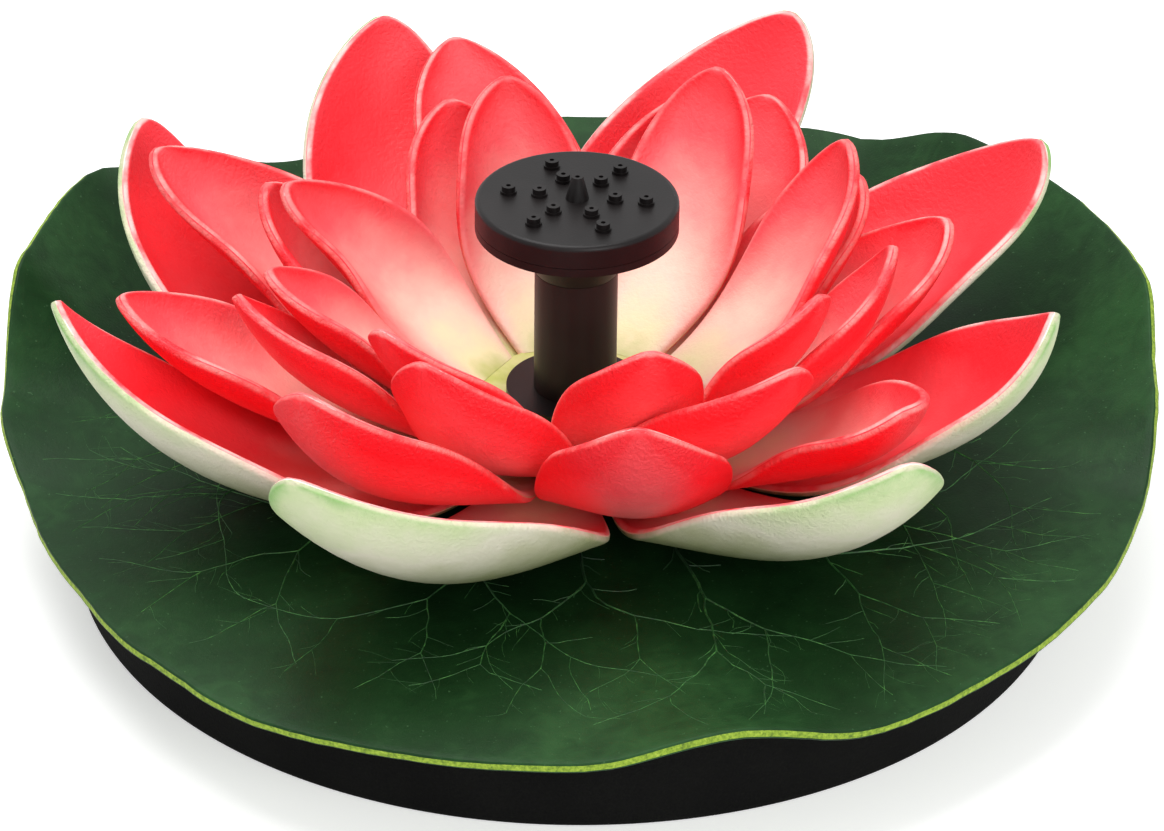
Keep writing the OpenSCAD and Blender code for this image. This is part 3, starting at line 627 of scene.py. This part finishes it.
class FlowerSheet:
    """One die-cut sheet: how long and wide its petals are, and how each one stands."""

    def __init__(self, name, level, length, half_width, cup_radius, bend_power, root_slope,
                 first_root, azimuths, tip_slopes, rolls, length_shares):
        self.name = name
        self.height = OUTER_HUB_Z + level * SHEET_PITCH
        self.length = length
        self.half_width = half_width
        self.cup_radius = cup_radius
        self.bend_power = bend_power
        self.root_slope = root_slope
        self.first_root = first_root
        self.azimuths = azimuths
        self.tip_slopes = tip_slopes
        self.rolls = rolls
        self.length_shares = length_shares

    def slope(self, share, number):
        turned_up = share ** self.bend_power
        return self.root_slope + (self.tip_slopes[number] - self.root_slope) * turned_up

    def middle_line(self, number):
        """Distances out and up along the petal's middle, at equal steps of its length."""
        length = self.length * self.length_shares[number]
        out, up, line = 0, 0, [(0, 0)]
        for step in range(LINE_STEPS):
            slope = math.radians(self.slope((step + 0.5) / LINE_STEPS, number))
            out += length / LINE_STEPS * math.cos(slope)
            up += length / LINE_STEPS * math.sin(slope)
            line.append((out, up))
        return line

    def half_width_at(self, share):
        if share < WIDEST_SHARE:
            rise = math.sin(math.pi / 2 * share / WIDEST_SHARE) ** ROOT_POWER
            return ROOT_HALF_W + (self.half_width - ROOT_HALF_W) * rise
        rest = (share - WIDEST_SHARE) / (1 - WIDEST_SHARE)
        return self.half_width * max(1 - rest ** 2, 0) ** TIP_POWER

    def point(self, number, line, side, share):
        """side runs from -1 to 1 across the petal, share from 0 at the root to 1 at the tip."""
        place = share * LINE_STEPS
        low = min(int(place), LINE_STEPS - 1)
        part = place - low
        out = line[low][0] * (1 - part) + line[low + 1][0] * part
        up = line[low][1] * (1 - part) + line[low + 1][1] * part
        slope = math.radians(self.slope(share, number))
        root = self.first_root - number * 360 / PETALS
        azimuth = math.radians(root + (self.azimuths[number] - root) * share ** SWEEP_POWER)
        outward = Vector((math.sin(azimuth), -math.cos(azimuth), 0))
        across = Vector((math.cos(azimuth), math.sin(azimuth), 0))
        inward = -math.sin(slope) * outward + math.cos(slope) * Vector((0, 0, 1))
        roll = math.radians(self.rolls[number]) * math.sin(
            math.pi / 2 * min(share / ROLL_FULL_SHARE, 1))
        chord = math.cos(roll) * across + math.sin(roll) * inward
        face = math.cos(roll) * inward - math.sin(roll) * across
        ease = max(math.sin(math.pi / 2 * min(share / CUP_FULL_SHARE, 1)), 0.05) ** 2
        curve_radius = self.cup_radius / ease
        bend = side * self.half_width_at(share) / curve_radius
        return ((HUB_R - HUB_OVERLAP + out) * outward
                + Vector((0, 0, self.height + HUB_T / 2 + up))
                + curve_radius * math.sin(bend) * chord
                + curve_radius * (1 - math.cos(bend)) * face)


sheets = [
    FlowerSheet("outer_flower_sheet", 0, 98, 23, 23.5, 1.95, 2, -12,
                [-30, -74, -118, -156, -205, -246, -290, -323],
                [76, 78, 80, 80, 81, 79, 88, 77],
                [11, 0, 0, 0, 0, 0, 4, -11],
                [0.98, 1, 0.98, 1, 1.03, 1, 0.97, 0.98]),
    FlowerSheet("second_flower_sheet", 1, 82, 19.5, 17.5, 1.7, 9, -32,
                [-36, -74, -110, -163, -209, -258, -316, -351],
                [79, 64, 69, 66, 66, 76, 67, 86],
                [8, 0, 0, 0, 0, 0, 0, -8],
                [1, 1, 1.02, 1, 0.88, 0.84, 0.97, 0.88]),
    FlowerSheet("third_flower_sheet", 2, 63, 16.3, 14.5, 1.7, 18, -18,
                [-27, -69, -109, -156, -203, -241, -274, -321],
                [90, 71, 76, 76, 76, 75, 86, 79],
                [6, 6, 0, 0, 0, 0, 0, -8],
                [1, 1, 0.96, 0.95, 1, 0.93, 0.95, 0.98]),
    FlowerSheet("inner_flower_sheet", 3, 60, 15, 13.5, 1.7, 28, -30,
                [-40, -74, -104, -165, -207, -245, -301, -344],
                [79, 63, 72, 82, 78, 84, 84, 90],
                [0, 0, 0, 0, 0, 0, -4, -6],
                [0.9, 0.92, 0.93, 0.96, 1.04, 1.01, 0.88, 0.86]),
]
print("petals", PETALS * len(sheets))

# %% [markdown]
# ## The petals' finishes
# The foam is white and airbrushed: a saturated red from the tip and the rims inwards, which fades
# through pink to a cream and then a yellow-green root. The cut rim shows pale pink foam, and a thin
# pale line along the rims is partly worn spray and partly a painted highlight. Outside, the three
# inner sheets are red too, with a deeper red at the root that is partly painted shade, and the
# outer one is cream with green towards its rims and a dark olive at its root and belly, which is
# painted shade and a painted reflection of the green leaf.
# The petal's own UV map says how far along (V) and across (U) a point is.

# %% Petal finishes
def petal_coordinates(finish):
    """How far along the petal a point is, and how near its side edges it is, both 0 to 1."""
    separate = finish.node("ShaderNodeSeparateXYZ", {},
                           {0: finish.node("ShaderNodeUVMap", {"uv_map": "petal"}).outputs[0]})
    across = Reading(finish, separate.outputs[0])
    along = Reading(finish, separate.outputs[1])
    return along, abs(across * 2 - 1)


def crinkle(finish, along, edge, depth):
    """The fine wrinkles that pressing leaves in the foam's skin, stronger towards the rims."""
    fine = finish.noise(0.8, detail=3, roughness=0.6, distortion=0.4)
    broad = finish.noise(7, detail=2)
    where = 0.25 + 0.75 * (edge ** 2 * 0.6 + along ** 3 * 0.6).at_most(1)
    finish.bump(fine * where * 0.7 + broad * 0.3, depth, 0.8)
    return fine


def rim_wear_and_highlight(finish, along, colour, pale, strength):
    """The colour with a thin pale line along the petal's rim: partly foam that shows where the
    spray is worn, partly a painted highlight on the rounded edge.
    """
    rim = finish.attribute("rim").step(0.45, 0.95)
    # The pale line is partly worn spray and partly a painted highlight along the rounded rim.
    worn = finish.noise(9, detail=3, roughness=0.6).step(0.3, 0.65)
    return finish.mix(rim * worn * along.step(0.1, 0.5) * strength, colour, linear(*pale))


def petal_inside(name, root, cream, pink, coral, red, reach, rim_strength):
    finish = Finish(name, red, 0.48)
    along, edge = petal_coordinates(finish)
    spray = finish.noise(9, detail=3, roughness=0.6)
    tone = along * 0.88 + edge ** 3 * 0.28 + (spray - 0.5) * 0.24 + reach
    sprayed = finish.ramp(tone, [(0.0, (190, 202, 104)), (0.12, root), (0.30, cream),
                                 (0.52, pink), (0.74, coral), (0.96, red)])
    finish.set("Base Color", rim_wear_and_highlight(finish, along, sprayed, (252, 216, 208), rim_strength))
    grain = crinkle(finish, along, edge, 0.5)
    finish.set("Roughness", 0.42 + grain * 0.12)
    return finish


def petal_outside(name, stops, rim_share, belly_shade_share, depth, rim_strength):
    finish = Finish(name, stops[-1][1], 0.5)
    along, edge = petal_coordinates(finish)
    spray = finish.noise(8, detail=3, roughness=0.6)
    tone = along * 0.8 + edge ** 2 * rim_share + (spray - 0.5) * 0.2
    # Along the belly and towards the root the colour goes to the first stop: painted shade, and on
    # the outer sheet also a painted green reflection of the leaf.
    belly_shade = (1 - edge).step(0.1, 0.9) * (1 - along.step(0.4, 0.85)) * belly_shade_share
    sprayed = finish.mix(belly_shade, finish.ramp(tone, stops), linear(*stops[0][1]))
    finish.set("Base Color", rim_wear_and_highlight(finish, along, sprayed, (250, 224, 212), rim_strength))
    grain = crinkle(finish, along, edge, depth)
    finish.set("Roughness", 0.44 + grain * 0.14)
    return finish


def petal_rim(name, pale, deep, wear):
    finish = Finish(name, deep, 0.6)
    along, edge = petal_coordinates(finish)
    grain = finish.noise(0.9, detail=3, roughness=0.7)
    patch = finish.noise(11, detail=2)
    worn = along.step(0.9, 1) * patch.step(0.4, 0.6) * wear
    sprayed = finish.ramp(grain * 0.4 + patch * 0.6 + worn, [
        (0.45, deep), (0.72, pale), (0.95, (252, 238, 230))])
    finish.set("Base Color", finish.mix(along.step(0.12, 0.55), linear(226, 206, 160), sprayed))
    finish.bump(grain, 0.15, 0.7)
    return finish


RED = (249, 32, 46)
insides = [
    petal_inside("outer_inside", (240, 222, 176), (247, 160, 150), (249, 84, 92),
                 (249, 46, 58), (251, 60, 72), 0.06, 0.9),
    petal_inside("second_inside", (240, 228, 180), (247, 196, 180), (250, 140, 138),
                 (250, 86, 94), RED, -0.02, 0.55),
    petal_inside("third_inside", (243, 232, 188), (248, 196, 178), (250, 146, 142),
                 (250, 84, 92), RED, 0.0, 0.4),
    petal_inside("inner_inside", (243, 233, 184), (248, 208, 188), (250, 150, 144),
                 (250, 86, 94), RED, 0.03, 0.3),
]
# The dark olive stops towards the root are painted shade and a painted reflection of the green
# leaf; the green near the tip and rims is the sheet's own.
outer_outside = petal_outside("outer_outside", [
    (0.0, (70, 88, 36)), (0.30, (112, 126, 68)), (0.46, (180, 184, 138)),
    (0.64, (226, 222, 200)), (0.78, (200, 214, 164)), (0.90, (126, 182, 90))],
    0.12, 0.8, 0.7, 0.6)
# The deep red at the root is partly the spray's own colour and partly painted shade where the
# petals meet the hub.
red_outside = petal_outside("red_outside", [
    (0.02, (150, 16, 18)), (0.2, (214, 48, 54)), (0.42, (252, 122, 120)),
    (0.64, (252, 76, 84)), (0.84, (252, 34, 48))], 0.5, 0, 1.1, 0.3)
rims = [petal_rim("outer_rim", (250, 216, 204), (244, 140, 142), 0.5),
        petal_rim("red_rim", (249, 108, 112), (241, 44, 58), 0.2)]
print("petal insides", len(insides), "and rims", len(rims))

# %% [markdown]
# ## The flower sheets' shapes
# Each petal starts as a flat grid, so its UV map is ready, and its points are moved by the
# formula. The tip's doubled points are merged, and Solidify gives the foam's thickness, which
# runs out towards the rim as a half circle. The eight petals and the ring between them are joined.

# %% Make a petal
COLUMNS = 24
ROWS = 40
RIM_R = 1.1
RIM_INSETS = [0, 0.25, 0.6, RIM_R]
RIM_PAINT_W = 1.6
RIM_THINNEST = 0.12


def share_at(along):
    """Rows lie closer together towards the tip, where the outline turns quickly."""
    return 1 - (1 - along) ** 1.5


def side_at(across, half_width):
    """The side of a column, from -1 to 1, and its distance from the rim in millimetres.

    The columns lie close together near the rims, so that the rims can be rounded."""
    column = round(across * COLUMNS)
    from_rim = min(column, COLUMNS - column)
    squeeze = min(1, half_width / 2 / RIM_R)
    if from_rim < len(RIM_INSETS):
        distance = RIM_INSETS[from_rim] * squeeze
    else:
        first = RIM_R * squeeze
        steps = COLUMNS // 2 - len(RIM_INSETS) + 1
        distance = first + (half_width - first) * (from_rim - len(RIM_INSETS) + 1) / steps
    side = 1 - distance / max(half_width, 0.001)
    return (side if column * 2 < COLUMNS else -side), distance


def make_petal(sheet, number):
    line = sheet.middle_line(number)
    rim_values = []

    def place(across, along):
        share = share_at(along)
        side, distance = side_at(across, sheet.half_width_at(share))
        distance = min(distance, (1 - share) * sheet.length)
        rim_values.append(1 - min(distance / RIM_PAINT_W, 1))
        return sheet.point(number, line, side, share)

    petal = bent_grid("petal", COLUMNS, ROWS, place)
    petal.data.attributes.new("rim", "FLOAT", "POINT").data.foreach_set("value", rim_values)
    layer = petal.data.uv_layers[0]
    layer.name = "petal"
    for corner in layer.data:
        share = share_at(corner.uv.y)
        side, _ = side_at(corner.uv.x, sheet.half_width_at(share))
        corner.uv = ((1 - side) / 2, share)
    merge(petal)
    thickness = petal.vertex_groups.new(name="thickness")
    for index, rim in enumerate(petal.data.attributes["rim"].data):
        inset = min((1 - rim.value) * RIM_PAINT_W / RIM_R, 1)
        thickness.add([index], math.sqrt(1 - (1 - inset) ** 2), "REPLACE")
    return petal


def make_hub(sheet):
    low = sheet.height + HUB_INSET
    high = sheet.height + HUB_T - HUB_INSET
    hub = turned("hub", [(HUB_HOLE_R, low), (HUB_R, low), (HUB_R, high), (HUB_HOLE_R, high)], 96)
    layer = hub.data.uv_layers.new(name="petal")
    for corner in layer.data:
        corner.uv = (0.5, 0)
    return hub


def make_sheet(sheet, inside, outside, rim):
    petals = join(sheet.name, [make_petal(sheet, number) for number in range(PETALS)])
    finish_with(petals, inside, outside, rim)
    apply_modifier(petals, "foam", "SOLIDIFY", thickness=PETAL_T * MM, offset=0,
                   use_even_offset=False, material_offset=1, material_offset_rim=2,
                   vertex_group="thickness", thickness_vertex_group=RIM_THINNEST)
    hub = make_hub(sheet)
    finish_with(hub, inside)
    whole = join(sheet.name, [petals, hub])
    smooth(whole, 50)
    return whole


print("a petal's grid:", COLUMNS, "by", ROWS)

# %% Make the four sheets
for sheet, inside, outside, rim, node, slot in zip(
        sheets, insides, [outer_outside, red_outside, red_outside, red_outside],
        [rims[0], rims[1], rims[1], rims[1]],
        ["outer_petals", "second_petals", "third_petals", "inner_petals"],
        ["petal_outer_foam", "petal_red_foam", "petal_red_foam", "petal_red_foam"]):
    flower_sheet = make_sheet(sheet, inside, outside, rim)
    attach(flower_sheet, "base")
    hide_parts(node)
    print(sheet.name, "faces", len(flower_sheet.data.polygons))

# %% [markdown]
# ## Plastics
# Collar, stem and spray head are moulded in black plastic with a fine satin skin. A faint drift in
# the gloss and a very fine bump keep them from looking like a single flat black.

# %% Plastic finishes
def moulded(name, colour, lighter, roughness):
    plastic = Finish(name, colour, roughness, specular=0.22)
    drift = plastic.noise(12, detail=2)
    skin = plastic.noise(0.35, detail=2, roughness=0.6)
    plastic.set("Base Color", plastic.mix(drift.step(0.35, 0.7), linear(*colour), linear(*lighter)))
    plastic.set("Roughness", roughness + (drift - 0.5) * 0.12 + (skin - 0.5) * 0.1)
    plastic.bump(skin, 0.03, 0.6)
    return plastic


black_plastic = moulded("black_plastic", (14, 10, 10), (24, 20, 20), 0.4)
grey_plastic = moulded("grey_plastic", (96, 98, 102), (112, 114, 118), 0.5)


def dress(node, finish):
    """Gives a CAD node its finish in every material slot."""
    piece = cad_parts[node]
    if not piece.material_slots:
        piece.data.materials.append(finish.material)
    for material_slot in piece.material_slots:
        material_slot.material = finish.material


for node in ("stem_collar", "riser_tube", "spray_cup", "spray_plate", "pump_housing",
             "inlet_plate", "intake_screen"):
    dress(node, black_plastic)
for node in ("motor_pod", "pod_lid", "impeller"):
    dress(node, grey_plastic)
print("plastic parts dressed")

# %% [markdown]
# ## Inside the pump
# These parts show only when the pump is open. They still get the finish of the real material:
# laminated steel, enamelled copper, a green circuit board, dark ferrite, white ceramic, rubber
# and open-cell sponge.

# %% Metal, board, rubber and sponge finishes
core_steel = Finish("core_steel", (150, 150, 154), 0.35, metallic=1)
layers = core_steel.noise(0.35, detail=1, stretch=(0.02, 0.02, 1))
core_steel.set("Base Color", core_steel.mix(layers.step(0.4, 0.6), linear(110, 110, 114),
                                            linear(170, 170, 174)))
core_steel.set("Roughness", 0.3 + layers * 0.2)
core_steel.bump(layers, 0.05)

screw_steel = Finish("screw_steel", (186, 186, 190), 0.28, metallic=1)
turning = screw_steel.noise(0.3, detail=2, roughness=0.7)
screw_steel.set("Roughness", 0.2 + turning * 0.2)
screw_steel.bump(turning, 0.02)

copper_wire = Finish("copper_wire", (190, 104, 58), 0.3, metallic=1)
turns = copper_wire.node("ShaderNodeTexWave", {"wave_type": "BANDS", "bands_direction": "Z"},
                         {"Vector": copper_wire.place, "Scale": 900.0, "Distortion": 0.4})
wire = Reading(copper_wire, turns.outputs[1])
copper_wire.set("Base Color", copper_wire.mix(wire, linear(120, 52, 28), linear(206, 120, 70)))
copper_wire.set("Roughness", 0.25 + wire * 0.1)
copper_wire.bump(wire, 0.1)

board_mask = Finish("board_mask", (12, 78, 40), 0.35)
tracks = board_mask.noise(1.6, detail=0, stretch=(1, 1, 0.01)).step(0.47, 0.53)
board_mask.set("Base Color", board_mask.mix(tracks, linear(10, 66, 34), linear(22, 104, 56)))
board_mask.set("Roughness", 0.3 + tracks * 0.1)
board_mask.bump(tracks, 0.03)

ferrite = Finish("ferrite", (46, 46, 49), 0.55, metallic=0.3)
pits = ferrite.noise(0.5, detail=3, roughness=0.7)
ferrite.set("Base Color", ferrite.mix(pits, linear(34, 34, 37), linear(62, 62, 66)))
ferrite.bump(pits, 0.05)

ceramic = Finish("ceramic", (232, 231, 226), 0.2)
glaze = ceramic.noise(0.8, detail=2)
ceramic.set("Roughness", 0.14 + glaze * 0.12)
ceramic.bump(glaze, 0.01)

seal_rubber = Finish("seal_rubber", (22, 22, 22), 0.65)
rubber_skin = seal_rubber.noise(0.6, detail=3)
seal_rubber.set("Base Color", seal_rubber.mix(rubber_skin, linear(18, 18, 18), linear(36, 36, 36)))
seal_rubber.bump(rubber_skin, 0.05)

sponge = Finish("filter_sponge", (44, 44, 50), 0.95)
pores = sponge.node("ShaderNodeTexVoronoi", {"feature": "F1"}, {"Vector": sponge.place,
                                                                "Scale": 900.0})
pore = Reading(sponge, pores.outputs[0])
sponge.set("Base Color", sponge.mix(pore.step(0.2, 0.7), linear(18, 18, 22), linear(74, 74, 82)))
sponge.bump(pore, 0.4)

for finish, nodes in ((core_steel, ["stator_core"]), (screw_steel, ["cover_screws"]),
                      (copper_wire, ["stator_coils"]), (board_mask, ["driver_board"]),
                      (ferrite, ["rotor_magnet"]), (ceramic, ["rotor_shaft"]),
                      (seal_rubber, ["pod_seal", "upper_bush", "lower_bush", "cable_gland"]),
                      (sponge, ["sponge_filter"])):
    for node in nodes:
        dress(node, finish)
print("inner parts dressed")

# %% [markdown]
# ## Floor and light
# The photograph has a white background and soft light from above and in front. A pale floor
# keeps the shadow, and where the camera or a reflection sees past the object it is white. Two
# large soft lamps and an even world light the foam at about the level its colours are written.

# %% Floor
def seen_directly(tree):
    """1 where the camera, a reflection or glass looks at the surface, and 0 for its light."""
    rays = tree.nodes.new("ShaderNodeLightPath")
    seen = rays.outputs["Is Camera Ray"]
    for kind in ("Is Glossy Ray", "Is Transmission Ray"):
        most = tree.nodes.new("ShaderNodeMath")
        most.operation = "MAXIMUM"
        tree.links.new(seen, most.inputs[0])
        tree.links.new(rays.outputs[kind], most.inputs[1])
        seen = most.outputs[0]
    return seen


FLOOR_W = 8000
FLOOR_GAP = 0.05
FLOOR_GLOW = 0.45

deselect()
bpy.ops.mesh.primitive_grid_add(x_subdivisions=2, y_subdivisions=2, size=FLOOR_W * MM)
floor = bpy.context.object
floor.name = "floor"
# A hair under the float, so that the two faces never coincide
floor.location.z = -FLOOR_GAP * MM
floor_finish = bpy.data.materials.new("floor")
floor_finish.use_nodes = True
floor_nodes = floor_finish.node_tree.nodes
floor_links = floor_finish.node_tree.links
floor_shader = floor_nodes["Principled BSDF"]
floor_shader.inputs["Base Color"].default_value = (0.86, 0.86, 0.86, 1)
floor_shader.inputs["Roughness"].default_value = 1
floor_shader.inputs["Specular IOR Level"].default_value = 0
glow = floor_nodes.new("ShaderNodeMath")
glow.operation = "MULTIPLY"
glow.inputs[1].default_value = FLOOR_GLOW
floor_links.new(seen_directly(floor_finish.node_tree), glow.inputs[0])
floor_shader.inputs["Emission Color"].default_value = (1, 1, 1, 1)
floor_links.new(glow.outputs[0], floor_shader.inputs["Emission Strength"])
floor.data.materials.append(floor_finish)
print("floor", FLOOR_W, "mm wide")

# %% World and lamps
world = bpy.data.worlds.new("world")
bpy.context.scene.world = world
world.use_nodes = True
world_nodes = world.node_tree.nodes
world_links = world.node_tree.links
soft_light = world_nodes["Background"]
soft_light.inputs[0].default_value = (1, 1, 1, 1)
soft_light.inputs[1].default_value = 0.5
white = world_nodes.new("ShaderNodeBackground")
white.inputs[0].default_value = (1, 1, 1, 1)
white.inputs[1].default_value = 1.0
world_mix = world_nodes.new("ShaderNodeMixShader")
world_links.new(seen_directly(world.node_tree), world_mix.inputs[0])
world_links.new(soft_light.outputs[0], world_mix.inputs[1])
world_links.new(white.outputs[0], world_mix.inputs[2])
world_links.new(world_mix.outputs[0], world_nodes["World Output"].inputs[0])


def lamp(name, place, size, power):
    """A square soft lamp that looks at the flower. Places are in millimetres."""
    data = bpy.data.lights.new(name, "AREA")
    data.size = size * MM
    data.energy = power
    light = bpy.data.objects.new(name, data)
    bpy.context.scene.collection.objects.link(light)
    light.location = Vector(place) * MM
    light.rotation_euler = (Vector((0, 0, 40)) - Vector(place)).to_track_quat("-Z", "Y").to_euler()


lamp("top_lamp", (-150, 150, 900), 700, 7.5)
lamp("front_lamp", (350, -800, 500), 500, 4.0)
bpy.context.scene.view_settings.view_transform = "Standard"
print("lamps", len(bpy.data.lights))
